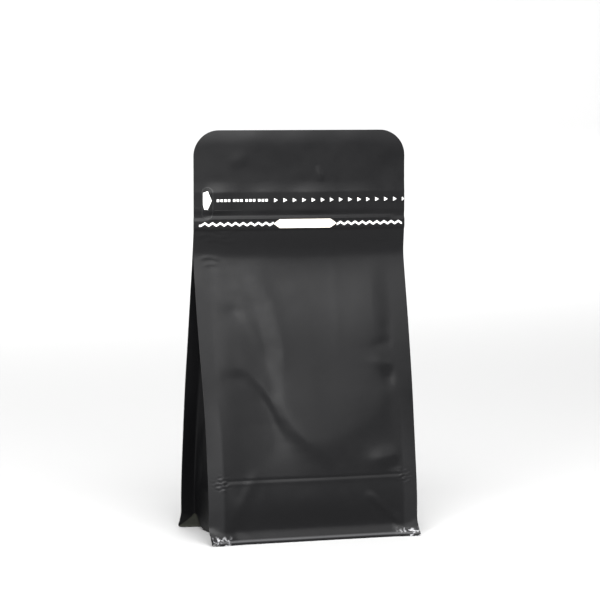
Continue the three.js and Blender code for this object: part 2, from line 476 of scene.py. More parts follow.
    def back_belly(self, x, z):
        """How far the back film stands out between its fins: an even bulge."""
        room = np.clip(self.base_half_depth + self.BACK_ROOM - self.half_depth(z), 0.0, None)
        bulge = self.BACK_BULGE * fall(*self.BACK_BULGE_FALLS, z) * rise(*self.FOOT_RISES, z)
        return self.fin_blend(x) * self.fullness(x) * soft_least(bulge, room, self.BACK_SOFTNESS)

    def front_wall(self, x, z):
        """Distance of the front film's lower wall from the middle plane."""
        fins = self.half_depth(z)
        left = np.clip(self.EDGE_MIDDLE - x, 0.0, None) / self.EDGE_LEFT
        right = np.clip(x - self.EDGE_MIDDLE, 0.0, None) / self.EDGE_RIGHT
        share = self.fullness(x) / (1.0 + left**2 + right**2)
        upright = self.WALL_FOOT - self.WALL_LEAN * (z - self.crease)
        return fins + share * np.clip(upright - fins, 0.0, None) * rise(*self.FOOT_RISES, z)

    def front_slope(self, x, z):
        """Distance of the front film's slope from the middle plane."""
        swell = self.SLOPE_SWELL * rise(*self.SLOPE_SWELL_RISES, z)
        slope = self.SLOPE_FOOT - self.SLOPE_LEAN * (z - self.SLOPE_LOW) + swell
        turned = np.clip(self.SLOPE_TURN_FROM - x, 0.0, self.SLOPE_TURN_REACH)
        return slope - self.SLOPE_TURN * turned**2 * fall(*self.SLOPE_TURN_FALLS, z)

    def front_hollow(self, x, z):
        """How far the front film is drawn inwards at the left."""
        beside = x - self.BROW_MIDDLE
        drop = np.where(beside > 0.0, self.BROW_DROP_RIGHT, self.BROW_DROP_LEFT) * beside**2
        over_brow = rise(*self.BROW_RISES, z + drop) * rise(*self.BROW_FOOT_RISES, z)
        below = np.interp(z, self.HOLLOW_HEIGHTS, self.HOLLOW_DEPTHS)
        above = self.HOLLOW_ABOVE * rise(*self.HOLLOW_ABOVE_RISES, z) * fall(*self.HOLLOW_ABOVE_FALLS, z)
        return (below + (above - below) * over_brow) * rise(*self.HOLLOW_RISES, x)

    def front_belly(self, x, z):
        """How far the front film stands out between its fins.

        The lower wall is nearly upright. Above, a flat slope leans back to the header, and the two meet
        in a curved edge that is lowest in the middle. Beside the left fin the film is drawn inwards, and
        it rises from there to the slope in a narrow face that catches the light.
        """
        fins = self.half_depth(z)
        hollow = self.front_hollow(x, z)
        proud = soft_least(self.front_wall(x, z), self.front_slope(x, z), self.EDGE_SOFTNESS)
        start = np.interp(z, self.FACE_HEIGHTS, self.FACE_STARTS)
        end = np.interp(z, self.FACE_HEIGHTS, self.FACE_ENDS)
        face = rise(0.0, 1.0, (x - start) / (end - start))
        film = fins - hollow + (proud - fins + hollow) * face
        shoulder = self.SHOULDER * rise(self.SHOULDER_START, self.SHOULDER_TOP, x)
        shoulder = shoulder * fall(self.SHOULDER_TOP, self.fin_root, x) * rise(*self.SHOULDER_RISES, z)
        return self.fin_blend(x) * fall(*self.BELLY_FALLS, z) * (film - fins + shoulder)

    def curl(self, x, z):
        """How far the seal fins are drawn back towards their free edges."""
        along = np.clip((np.abs(x) - self.fin_root) / (self.half_width - self.fin_root), 0.0, 1.0)
        low = np.where(x < 0.0, *self.LOW_CURL) * fall(*self.LOW_CURL_FALLS, z)
        reach = np.where(x < 0.0, *self.CURL) + low
        return reach * along**self.CURL_POWER * rise(*self.CURL_RISES, z) * fall(*self.CURL_FALLS, z)

    def flare(self, x, z):
        """How far a foot skirt leans out."""
        down = np.clip((self.SKIRT_HEIGHT - z) / (self.SKIRT_HEIGHT - self.LIP_HEIGHT), 0.0, 1.0)
        outward = (np.abs(x) / self.half_width) ** self.FLARE_SPREAD_POWER
        share = self.MIDDLE_SHARE + (1.0 - self.MIDDLE_SHARE) * outward
        return down**self.FLARE_POWER * (self.skirt_flare * share + self.CORNER_FLARE * outward)

    def panel_distance(self, x, z):
        """Distance from the middle plane to the middle of a plain panel film."""
        return self.half_depth(z) + self.flare(x, z) - self.curl(x, z)

    def between_fins(self, margin, x):
        """1 between the seal fins, falling to 0 over a margin beside each of them."""
        return fall(self.fin_root - margin, self.fin_root, np.abs(x))

    def crease_relief(self, x, z):
        """The fine groove and ridge where the base film's fold shows through a panel."""
        groove = self.GROOVE_DEPTH * bell(z - self.crease - self.GROOVE_ABOVE, self.GROOVE_WIDTH)
        ridge = self.RIDGE_HEIGHT * bell(z - self.crease + self.RIDGE_BELOW, self.RIDGE_WIDTH)
        return self.between_fins(self.CREASE_MARGIN, x) * (ridge - groove)

    def tuck(self, x, z):
        """The panel draws in towards the root of its skirt."""
        inside = self.between_fins(self.TUCK_MARGIN, x)
        return -self.TUCK * inside * rise(*self.TUCK_RISES, z) * fall(*self.TUCK_FALLS, z)

    def header_relief(self, x, z):
        """The tear band and the zip under the front film."""
        inner, outer = self.fin_root - self.HEADER_END_INSIDE, self.fin_root + self.HEADER_END_OUTSIDE
        ends = fall(inner, outer, np.abs(x))
        above = np.clip((self.tear + self.TEAR_TOP - z) / self.TEAR_TOP_SLOPE, 0.0, 1.0)
        below = rise(self.tear - self.TEAR_FOOT, self.tear - self.TEAR_FOOT_TOP, z)
        swell = self.TEAR_SWELL
        for form in self.TEAR_WAVES:
            swell = swell + wave(x, z, form)
        across = self.TEAR_SHARE_AT_FINS + (1.0 - self.TEAR_SHARE_AT_FINS) * ends
        tear = across * swell * above**self.TEAR_TOP_POWER * below
        ridge = self.ZIP_RIDGE_HEIGHT * bell(z - self.zip - self.ZIP_RIDGE_ABOVE, self.ZIP_RIDGE_WIDTH)
        low, high = self.zip - self.ZIP_TRACK_BELOW, self.zip + self.ZIP_TRACK_ABOVE
        track = self.ZIP_TRACK_HEIGHT * band(low, high, self.ZIP_TRACK_SLOPE, z)
        return tear + np.maximum(ridge * ends, track)

    def header_sway(self, x, z):
        """Soft waves of both header films, and their upper edge drawn back."""
        sway = wave(x, z, self.SWAY_WAVE) * rise(*self.SWAY_RISES, z)
        edge = wave(x, z, self.TOP_EDGE_WAVE) * rise(*self.TOP_EDGE_RISES, z)
        drawn_back = np.clip((z - self.TOP_EDGE_FOOT) / self.TOP_EDGE_HEIGHT, 0.0, 1.0) ** 2
        return sway + edge - self.TOP_EDGE_BACK * drawn_back

    def wrinkle_relief(self, x, z):
        """Short level wrinkles below the zip."""
        total = np.zeros_like(x)
        for start, end, level, height in WRINKLES:
            ends = band(start + self.WRINKLE_END, end - self.WRINKLE_END, self.WRINKLE_END_SLOPE, x)
            offset = z - level - wave(x - start, z, self.WRINKLE_WAVE)
            total += height * ends * bell(offset, self.WRINKLE_WIDTH)
        return total

    def knot_relief(self, x, z):
        """Crinkles where the crease runs into the seal fins."""
        total = np.zeros_like(x)
        for side, share in self.KNOT_SIDES:
            across = (x - side * (self.fin_root + self.KNOT_OUT)) / self.KNOT_WIDE
            up = (z - self.crease + self.KNOT_BELOW) / self.KNOT_HIGH
            height = self.KNOT_HEIGHT * share * np.exp(-(across**2) - up**2)
            for turn_x, turn_z, start in self.KNOT_WAVES:
                total += height * wave(x, z, (1.0, turn_x, turn_z, start * (self.KNOT_START_SHIFT - side)))
        return total

    def front_relief(self, x, z):
        """All that stands proud of the plain front film."""
        total = self.front_belly(x, z) + self.crease_relief(x, z) + self.tuck(x, z) + self.header_relief(x, z)
        total = total + self.wrinkle_relief(x, z) + self.knot_relief(x, z)
        near_fins = 1.0 - self.between_fins(self.DENT_MARGIN, x)
        kept = 1.0 - near_fins * fall(*self.DENT_MARGIN_FALLS, z)
        for form in HUMPS:
            total = total + hump(x, z, form) * kept
        for form in FOLDS:
            total = total + fold(x, z, form) * kept
        return total

    def back_relief(self, x, z):
        """All that stands proud of the plain back film."""
        low, high = self.zip - self.ZIP_TRACK_BELOW, self.zip + self.BACK_TRACK_ABOVE
        track = self.BACK_TRACK_HEIGHT * band(low, high, self.ZIP_TRACK_SLOPE, z)
        return self.back_belly(x, z) + self.crease_relief(x, z) + self.tuck(x, z) + track

    def top_inset(self, z):
        """How far the round top corners draw a panel's edge in."""
        radius = self.TOP_CORNER_RADIUS
        above = np.clip(z - (self.height - radius), 0.0, radius)
        return radius - np.sqrt(radius**2 - above**2)

    def foot_inset(self, z, radius):
        """How far a round foot corner draws a panel's edge in."""
        below = np.clip(radius - z, 0.0, radius)
        return radius - np.sqrt(radius**2 - below**2)

    def gusset_depth(self, z):
        """How deep a side gusset folds in."""
        reach = np.minimum(self.half_depth(z), self.half_gusset - self.GUSSET_SLACK)
        return np.sqrt(self.half_gusset**2 - reach**2)

    def placed(self, x, y, z):
        """A point of the straight pouch where the bowed, leaning and slightly turned pouch has it."""
        bow = self.HEADER_BOW * (1.0 - (x / self.half_width) ** 2) * rise(*self.HEADER_BOW_RISES, z)
        bow = bow + self.header_sway(x, z)
        lean = self.HEADER_LEAN * rise(*self.HEADER_LEAN_RISES, z)
        lean = lean + self.ZIP_LEAN * rise(*self.ZIP_LEAN_RISES, z)
        turn = -self.HEADER_TWIST * rise(*self.HEADER_TWIST_RISES, z)
        placed_x = x * np.cos(turn) - (y - bow) * np.sin(turn)
        placed_y = x * np.sin(turn) + (y - bow) * np.cos(turn) - lean
        return placed_x, placed_y, z

    def front_point(self, x, z, proud):
        """A place on the front film's outer face, or proud of it."""
        distance = self.panel_distance(x, z) + self.front_relief(x, z) + self.panel_film / 2 + proud
        return self.placed(x, -distance, z)


# Modelling helpers


SMOOTH_ANGLE = math.radians(40)


def clear_selection():
    if bpy.context.object and bpy.context.object.mode != "OBJECT":
        bpy.ops.object.mode_set(mode="OBJECT")
    bpy.ops.object.select_all(action="DESELECT")


def name_piece(piece, name):
    piece.name = name
    piece.data.name = name


def unit_grid(name, columns, rows):
    """A flat grid from -1 to 1 both ways, ready to be shaped."""
    clear_selection()
    bpy.ops.mesh.primitive_grid_add(x_subdivisions=columns, y_subdivisions=rows, size=2.0)
    sheet = bpy.context.object
    name_piece(sheet, name)
    return sheet


def read_points(piece):
    flat = np.empty(len(piece.data.vertices) * 3)
    piece.data.vertices.foreach_get("co", flat)
    return flat.reshape(-1, 3)


def write_points(piece, x, y, z):
    """Writes places in millimetres to the mesh."""
    points = np.stack(np.broadcast_arrays(x, y, z), axis=1) * MM
    piece.data.vertices.foreach_set("co", points.ravel())
    piece.data.update()


def thicken(piece, thickness, offset=0.0):
    """Gives a sheet its thickness, in millimetres, and smooth shading."""
    solidify = piece.modifiers.new("Film", "SOLIDIFY")
    solidify.thickness = thickness * MM
    solidify.offset = offset
    solidify.use_even_offset = True
    clear_selection()
    piece.select_set(True)
    bpy.context.view_layer.objects.active = piece
    bpy.ops.object.modifier_apply(modifier=solidify.name)
    bpy.ops.object.shade_smooth_by_angle(angle=SMOOTH_ANGLE)


def finish_film(form, sheet, points, thickness, inside_out):
    """Shapes a grid into a film, turns it over if it came out the wrong way round, and thickens it."""
    write_points(sheet, *form.placed(*points))
    if inside_out:
        sheet.data.flip_normals()
    thicken(sheet, thickness)
    return sheet


def finish_piece(piece, material):
    piece.data.materials.clear()
    piece.data.materials.append(material)
    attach(piece, BODY)
    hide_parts(NODE)


def join_as(name, pieces):
    clear_selection()
    for piece in pieces:
        piece.select_set(True)
    bpy.context.view_layer.objects.active = pieces[0]
    bpy.ops.object.join()
    joined = bpy.context.object
    name_piece(joined, name)
    return joined


# Materials. Noise scales are per metre, and bump distances are in metres.


GRAIN = {"scale": 1400.0, "detail": 2.0}
FILM_SLACK = {"scale": 45.0, "detail": 3.0}
FILM_GLOSS = {"scale": 120.0, "detail": 4.0}
FILM_GLOSS_BELOW = 0.03
FILM_GLOSS_ABOVE = 0.05
NOISE_RANGE = (0.3, 0.7)
PRINT_TONE = {"scale": 900.0, "detail": 3.0}
PRINT_TONE_RANGE = (0.86, 1.0)
PRINT_ROUGHNESS = 0.55
PRINT_SPECULAR = 0.3

# Pale marks on the panels, given by their colour, where each kind starts and ends in metres, and how strong
# it is: scuffs with a painted highlight at the skirt ends, a painted highlight along the skirt rims and a
# faint painted highlight on the lower seal fins
SCUFF_AND_HIGHLIGHT_COLOUR = (0.60, 0.60, 0.62, 1.0)
SKIRT_END_OUT = (0.052, 0.060)
SKIRT_END_UP = (0.0035, 0.0062)
SPECKS = {"scale": 420.0, "detail": 4.0, "roughness": 0.6}
SPECK_RANGE = (0.50, 0.62)
SPECK_STRENGTH = 0.55
RIM_HIGHLIGHT_FOOT = (0.0012, 0.0020)
RIM_HIGHLIGHT_TOP = (0.0022, 0.0032)
RIM_HIGHLIGHT_STRENGTH = 0.07
SEAL_HIGHLIGHT_OUT = (0.0570, 0.0590)
SEAL_HIGHLIGHT_UP = (0.050, 0.085)
SEAL_HIGHLIGHT_STRENGTH = 0.007


def new_material(name, colour, roughness, specular):
    material = bpy.data.materials.new(name)
    material.use_nodes = True
    material.diffuse_color = (*colour, 1.0)
    shader = shader_of(material)
    shader.inputs["Base Color"].default_value = (*colour, 1.0)
    shader.inputs["Roughness"].default_value = roughness
    shader.inputs["Specular IOR Level"].default_value = specular
    return material


def shader_of(material):
    return material.node_tree.nodes["Principled BSDF"]


def object_place(tree):
    return tree.nodes.new("ShaderNodeTexCoord").outputs["Object"]


def add_noise(tree, place, scale, detail, roughness=0.5):
    noise = tree.nodes.new("ShaderNodeTexNoise")
    noise.inputs["Scale"].default_value = scale
    noise.inputs["Detail"].default_value = detail
    noise.inputs["Roughness"].default_value = roughness
    tree.links.new(place, noise.inputs["Vector"])
    return noise.outputs["Fac"]


def add_bump(tree, height, distance, strength, before=None):
    bump = tree.nodes.new("ShaderNodeBump")
    bump.inputs["Distance"].default_value = distance
    bump.inputs["Strength"].default_value = strength
    tree.links.new(height, bump.inputs["Height"])
    if before is not None:
        tree.links.new(before, bump.inputs["Normal"])
    return bump.outputs["Normal"]


def add_range(tree, value, start, end):
    """Turns one range of a value, given by its two ends, into another."""
    remap = tree.nodes.new("ShaderNodeMapRange")
    remap.inputs["From Min"].default_value = start[0]
    remap.inputs["From Max"].default_value = start[1]
    remap.inputs["To Min"].default_value = end[0]
    remap.inputs["To Max"].default_value = end[1]
    tree.links.new(value, remap.inputs["Value"])
    return remap.outputs["Result"]


def add_math(tree, operation, *values):
    step = tree.nodes.new("ShaderNodeMath")
    step.operation = operation
    for place, value in enumerate(values):
        tree.links.new(value, step.inputs[place])
    return step.outputs["Value"]


def film_material(colour, name="matt_black_film", specular=0.13, roughness=0.39):
    """Matt laminated film: a fine grain, soft unevenness and slightly varied gloss."""
    material = new_material(name, colour, roughness, specular)
    tree = material.node_tree
    place = object_place(tree)
    gloss_range = (roughness - FILM_GLOSS_BELOW, roughness + FILM_GLOSS_ABOVE)
    gloss = add_range(tree, add_noise(tree, place, **FILM_GLOSS), NOISE_RANGE, gloss_range)
    tree.links.new(gloss, shader_of(material).inputs["Roughness"])
    slack = add_bump(tree, add_noise(tree, place, **FILM_SLACK), distance=0.0006, strength=0.25)
    grain = add_bump(tree, add_noise(tree, place, **GRAIN), distance=0.00005, strength=0.35, before=slack)
    tree.links.new(grain, shader_of(material).inputs["Normal"])
    return material


def add_scuffs_and_painted_highlights(material):
    """Pale marks: scuffs with a painted highlight on the ends of the foot skirts, a painted highlight along
    their rim and a faint painted highlight on the lower seal fins.
    """
    tree = material.node_tree
    base_colour = shader_of(material).inputs["Base Color"]
    place = object_place(tree)
    parts = tree.nodes.new("ShaderNodeSeparateXYZ")
    tree.links.new(place, parts.inputs["Vector"])
    up = parts.outputs["Z"]
    out = add_math(tree, "ABSOLUTE", parts.outputs["X"])

    # Skirt ends: pale specks, partly stress-whitened scuffs and partly a painted highlight.
    ends = add_range(tree, out, SKIRT_END_OUT, (0.0, 1.0))
    low = add_range(tree, up, SKIRT_END_UP, (1.0, 0.0))
    specks = add_range(tree, add_noise(tree, place, **SPECKS), SPECK_RANGE, (0.0, SPECK_STRENGTH))
    corners = add_math(tree, "MULTIPLY", add_math(tree, "MULTIPLY", ends, low), specks)

    # Skirt rim: a painted highlight along the lower edge of the skirts.
    rim_highlight_foot = add_range(tree, up, RIM_HIGHLIGHT_FOOT, (0.0, RIM_HIGHLIGHT_STRENGTH))
    rim_highlight_top = add_range(tree, up, RIM_HIGHLIGHT_TOP, (1.0, 0.0))
    skirts = add_math(tree, "MAXIMUM", corners, add_math(tree, "MULTIPLY", rim_highlight_foot, rim_highlight_top))

    # Lower seal fins: a faint painted highlight.
    seal_highlight_out = add_range(tree, out, SEAL_HIGHLIGHT_OUT, (0.0, 1.0))
    seal_highlight_up = add_range(tree, up, SEAL_HIGHLIGHT_UP, (SEAL_HIGHLIGHT_STRENGTH, 0.0))
    scuffs_and_highlights = add_math(tree, "MAXIMUM", skirts, add_math(tree, "MULTIPLY", seal_highlight_out, seal_highlight_up))

    mix = tree.nodes.new("ShaderNodeMix")
    mix.data_type = "RGBA"
    mix.inputs["A"].default_value = base_colour.default_value
    mix.inputs["B"].default_value = SCUFF_AND_HIGHLIGHT_COLOUR
    tree.links.new(scuffs_and_highlights, mix.inputs["Factor"])
    tree.links.new(mix.outputs["Result"], base_colour)
    return material


def print_material(name, colour):
    """Opaque print: slightly uneven in tone, with a fine grain."""
    material = new_material(name, colour, PRINT_ROUGHNESS, PRINT_SPECULAR)
    tree = material.node_tree
    place = object_place(tree)
    mix = tree.nodes.new("ShaderNodeMix")
    mix.data_type = "RGBA"
    mix.blend_type = "MULTIPLY"
    mix.inputs["Factor"].default_value = 1.0
    mix.inputs["A"].default_value = (*colour, 1.0)
    tone = add_range(tree, add_noise(tree, place, **PRINT_TONE), NOISE_RANGE, PRINT_TONE_RANGE)
    tree.links.new(tone, mix.inputs["B"])
    tree.links.new(mix.outputs["Result"], shader_of(material).inputs["Base Color"])
    grain = add_bump(tree, add_noise(tree, place, **GRAIN), distance=0.00003, strength=0.3)
    tree.links.new(grain, shader_of(material).inputs["Normal"])
    return material


# Films. A grid runs from -1 to 1 both ways, and a share is a part of that.


PANEL_COLUMNS = 136
# Heights of a panel's rows of points: rows so far, height in millimetres
PANEL_ROWS = (
    (0, 0.0), (14, 9.0), (34, 33.0), (58, 44.0), (150, 165.0), (168, 181.0), (222, 220.0), (232, 235.5),
)
CORNER_ROWS = 18

GUSSET_COLUMNS = 84
GUSSET_ROWS = 150
GUSSET_TOP = 184.0
GUSSET_FOOT = 0.8
GUSSET_FOOT_RISES = (0.6, 1.0)
WEB_SHARE = 0.8  # share of a gusset's columns, on each side, that form the folded web
FIN_FOOT_DROP = 8.8
FIN_MARGIN = 0.25
WEB_POWER = 1.1
WEB_POWER_MORE = 0.9
WEB_POWER_FALLS = (14.0, 54.0)
BUCKLE_WAVE = (0.5, 0.0, 0.11, 1.0)
BUCKLE_BAND = (0.1, 0.8, 0.1)
BUCKLE_FALLS = (60.0, 110.0)

FILM_GAP = 0.01
LEAST_GAP = 0.02
LINING_FALLS = (9.0, 14.0)

FLOOR_COLUMNS = 96
FLOOR_ROWS = 56
FLOOR_LIFT = 0.35
FLOOR_SIDE_FOOT = 1.0
FLOOR_PANEL_RISES = (0.8, 1.0)
FLOOR_SIDE_RISES = (0.6, 1.0)
FLOOR_RING_RISES = (0.66, 1.0)
FLOOR_RING_POWER = 1.3
FLOOR_DIAGONAL_RISES = (-0.15, 0.15)
FLOOR_FOLD_POWER = 4
FLOOR_FILM_LAYERS = 1.5

LINING_COLUMNS = 120
LINING_ROWS = 10
LINING_FOOT = 0.3
LINING_TOP_MORE = 0.6
LINING_MARGIN = 0.3


def climb(grid):
    """0 at a grid's lower edge, 1 at its upper edge."""
    return (grid[:, 1] + 1.0) / 2.0


def panel_film(form, name, side, relief):
    """The front (side -1) or the back (side 1) film with its fins, skirt and round corners."""
    rows = PANEL_ROWS[-1][0] + CORNER_ROWS
    sheet = unit_grid(name, PANEL_COLUMNS, rows)
    grid = read_points(sheet)
    column = grid[:, 0] * form.half_width
    row = climb(grid) * rows
    steps, heights = zip(*PANEL_ROWS)
    corner = np.clip((row - steps[-1]) / CORNER_ROWS, 0.0, 1.0) * math.pi / 2
    z = np.interp(row, steps, heights) + form.TOP_CORNER_RADIUS * np.sin(corner)
    round_foot = (column < 0.0) & (side < 0)
    radius = np.where(round_foot, form.FOOT_CORNER_RADIUS, form.SMALL_CORNER_RADIUS)
    x = column * (form.half_width - form.top_inset(z) - form.foot_inset(z, radius)) / form.half_width
    y = side * (form.panel_distance(x, z) + relief(column, z))
    return finish_film(form, sheet, (x, y, z), form.panel_film, side > 0)


def lining_gap(form):
    """Middle of a panel film to the middle of the film that lines it."""
    return form.panel_film / 2 + form.inner_film / 2 + FILM_GAP


def flange_distance(form, x, z):
    """Middle plane to the gusset film where it lines a seal fin."""
    lining = form.inner_film * fall(*LINING_FALLS, z)
    return form.panel_distance(x, z) - lining_gap(form) - lining


def gusset_film(form, name, side):
    """A side gusset: it lines the front fin, folds inwards and lines the back fin."""
    sheet = unit_grid(name, GUSSET_COLUMNS, GUSSET_ROWS)
    grid = read_points(sheet)
    across = np.clip(grid[:, 0] / WEB_SHARE, -1.0, 1.0)
    from_fold = np.abs(across)
    along_fin = np.clip((np.abs(grid[:, 0]) - WEB_SHARE) / (1.0 - WEB_SHARE), 0.0, 1.0)
    web_foot = GUSSET_FOOT + (form.CORNER_ROOT_HEIGHT - GUSSET_FOOT) * rise(*GUSSET_FOOT_RISES, from_fold)
    foot = np.where(along_fin > 0.0, form.CORNER_ROOT_HEIGHT - along_fin * FIN_FOOT_DROP, web_foot)
    z = foot + (GUSSET_TOP - foot) * climb(grid)
    fin_width = form.half_width - form.fin_root - FIN_MARGIN
    power = WEB_POWER + WEB_POWER_MORE * fall(*WEB_POWER_FALLS, z)
    inset = form.gusset_depth(z) * (1.0 - from_fold**power)
    x = side * (form.fin_root - inset + fin_width * along_fin)
    reach = np.maximum(flange_distance(form, x, z), form.inner_film / 2 + LEAST_GAP)
    y = np.sign(grid[:, 0]) * np.where(along_fin > 0.0, reach, from_fold * reach)
    buckle = wave(x, z, BUCKLE_WAVE) * band(*BUCKLE_BAND, from_fold) * fall(*BUCKLE_FALLS, z)
    return finish_film(form, sheet, (x + side * buckle, y, z), form.inner_film, side > 0)


def base_floor(form):
    """The base film: flat on the surface in its middle, raised to the skirts and to the four corners."""
    sheet = unit_grid("base_floor", FLOOR_COLUMNS, FLOOR_ROWS)
    grid = read_points(sheet)
    across, deep = grid[:, 0], grid[:, 1]
    out, back = np.abs(across), np.abs(deep)
    corner_root = form.CORNER_ROOT_HEIGHT
    skirt_root = form.SKIRT_ROOT_HEIGHT
    panel_foot = skirt_root + (corner_root - skirt_root) * rise(*FLOOR_PANEL_RISES, out)
    side_foot = FLOOR_SIDE_FOOT + (corner_root - FLOOR_SIDE_FOOT) * rise(*FLOOR_SIDE_RISES, back)
    foot = side_foot + (panel_foot - side_foot) * rise(*FLOOR_DIAGONAL_RISES, back - out)
    z = FLOOR_LIFT + foot * rise(*FLOOR_RING_RISES, np.maximum(out, back)) ** FLOOR_RING_POWER
    inset = form.gusset_depth(z) * (1.0 - back**2)
    x = across * (form.fin_root - inset * out**FLOOR_FOLD_POWER)
    inward = FLOOR_FILM_LAYERS * form.inner_film
    y = deep * (form.panel_distance(x, z) + form.tuck(x, z) - form.panel_film / 2 - inward)
    return finish_film(form, sheet, (x, y, z), form.inner_film, True)


def skirt_lining(form, side):
    """The edge of the base film where it lines the inside of a foot skirt."""
    sheet = unit_grid("skirt_lining", LINING_COLUMNS, LINING_ROWS)
    grid = read_points(sheet)
    z = LINING_FOOT + climb(grid) * (form.CORNER_ROOT_HEIGHT + LINING_TOP_MORE)
    radius = form.FOOT_CORNER_RADIUS if side < 0 else form.SMALL_CORNER_RADIUS
    left = form.foot_inset(z, radius) * (grid[:, 0] < 0.0)
    x = grid[:, 0] * (form.half_width - LINING_MARGIN - left)
    y = side * (form.panel_distance(x, z) + form.tuck(x, z) - lining_gap(form))
    return finish_film(form, sheet, (x, y, z), form.inner_film, side > 0)


# Print. Its shapes are drawn flat, in millimetres, in the XZ plane, and are then laid on the front film.


PRINT_PROUD = 0.07
PRINT_THICKNESS = 0.06
FINE_PRINT_PROUD = 0.13
CUT_AXES = ((0, Vector((1.0, 0.0, 0.0))), (2, Vector((0.0, 0.0, 1.0))))
CUT_TOLERANCE = 1e-4


def flat_shape(corners):
    """A flat shape from its corners."""
    clear_selection()
    bpy.ops.mesh.primitive_circle_add(vertices=len(corners), radius=1.0, fill_type="NGON")
    shape = bpy.context.object
    for vertex, (x, z) in zip(shape.data.vertices, corners):
        vertex.co = Vector((x, 0.0, z))
    return shape


def flat_bar(start, end, z, half_start, half_end):
    """A flat level bar, with half its height at its start and at its end."""
    return flat_shape(
        ((start, z - half_start), (end, z - half_end), (end, z + half_end), (start, z + half_start))
    )


def lay_on_film(form, shape, proud):
    """Cuts a flat shape at every millimetre and lays it on the front film."""
    mesh = bmesh.new()
    mesh.from_mesh(shape.data)
    low = [min(vertex.co[axis] for vertex in mesh.verts) for axis in range(3)]
    high = [max(vertex.co[axis] for vertex in mesh.verts) for axis in range(3)]
    for axis, normal in CUT_AXES:
        for step in range(math.ceil(low[axis]), math.ceil(high[axis])):
            everything = mesh.verts[:] + mesh.edges[:] + mesh.faces[:]
            bmesh.ops.bisect_plane(
                mesh, geom=everything, plane_co=normal * step, plane_no=normal, dist=CUT_TOLERANCE
            )
    mesh.to_mesh(shape.data)
    mesh.free()
    flat = read_points(shape)
    write_points(shape, *form.front_point(flat[:, 0], flat[:, 2], proud))
    return shape


def face_front(shape):
    """Turns a laid shape's faces over where they look backwards."""
    shape.data.update()
    if sum(face.normal.y * face.area for face in shape.data.polygons) > 0.0:
        shape.data.flip_normals()


def finish_print(form, shape, material, name, proud=PRINT_PROUD):
    """Lays a flat shape on the film as a thin closed layer."""
    lay_on_film(form, shape, proud)
    face_front(shape)
    thicken(shape, PRINT_THICKNESS, -1.0)
    name_piece(shape, name)
    finish_piece(shape, material)


# Operators


class POUCH_OT_panels(bpy.types.Operator):
    """Build the front and the back film"""

    bl_idname = "pouch.panels"
    bl_label = "Panels"

    def execute(self, context):
        form = PouchForm(context.scene.pouch_sizes)
        # The panel film carries painted highlights on its skirts and seal fins, and scuffs at the skirt ends.
        film = add_scuffs_and_painted_highlights(film_material(context.scene.pouch_colours.film))
        finish_piece(panel_film(form, "front_panel", -1, form.front_relief), film)
        finish_piece(panel_film(form, "back_panel", 1, form.back_relief), film)
        return {"FINISHED"}


class POUCH_OT_gussets(bpy.types.Operator):
    """Build the two folded side gussets"""

    bl_idname = "pouch.gussets"
    bl_label = "Side gussets"

    def execute(self, context):
        form = PouchForm(context.scene.pouch_sizes)
        film = film_material(context.scene.pouch_colours.film, name="gusset_film", specular=0.09)
        for name, side in (("left_gusset", -1), ("right_gusset", 1)):
            finish_piece(gusset_film(form, name, side), film)
        return {"FINISHED"}


class POUCH_OT_base(bpy.types.Operator):
    """Build the base film and its linings inside the skirts"""

    bl_idname = "pouch.base"
    bl_label = "Base film"

    def execute(self, context):
        form = PouchForm(context.scene.pouch_sizes)
        # Its colour is painted lighter than the black film, a painted highlight where it faces up.
        colour = context.scene.pouch_colours.base_film
        film = film_material(colour, name="base_film", specular=0.22, roughness=0.45)
        parts = [base_floor(form), skirt_lining(form, -1), skirt_lining(form, 1)]
        finish_piece(join_as("base_film", parts), film)
        return {"FINISHED"}


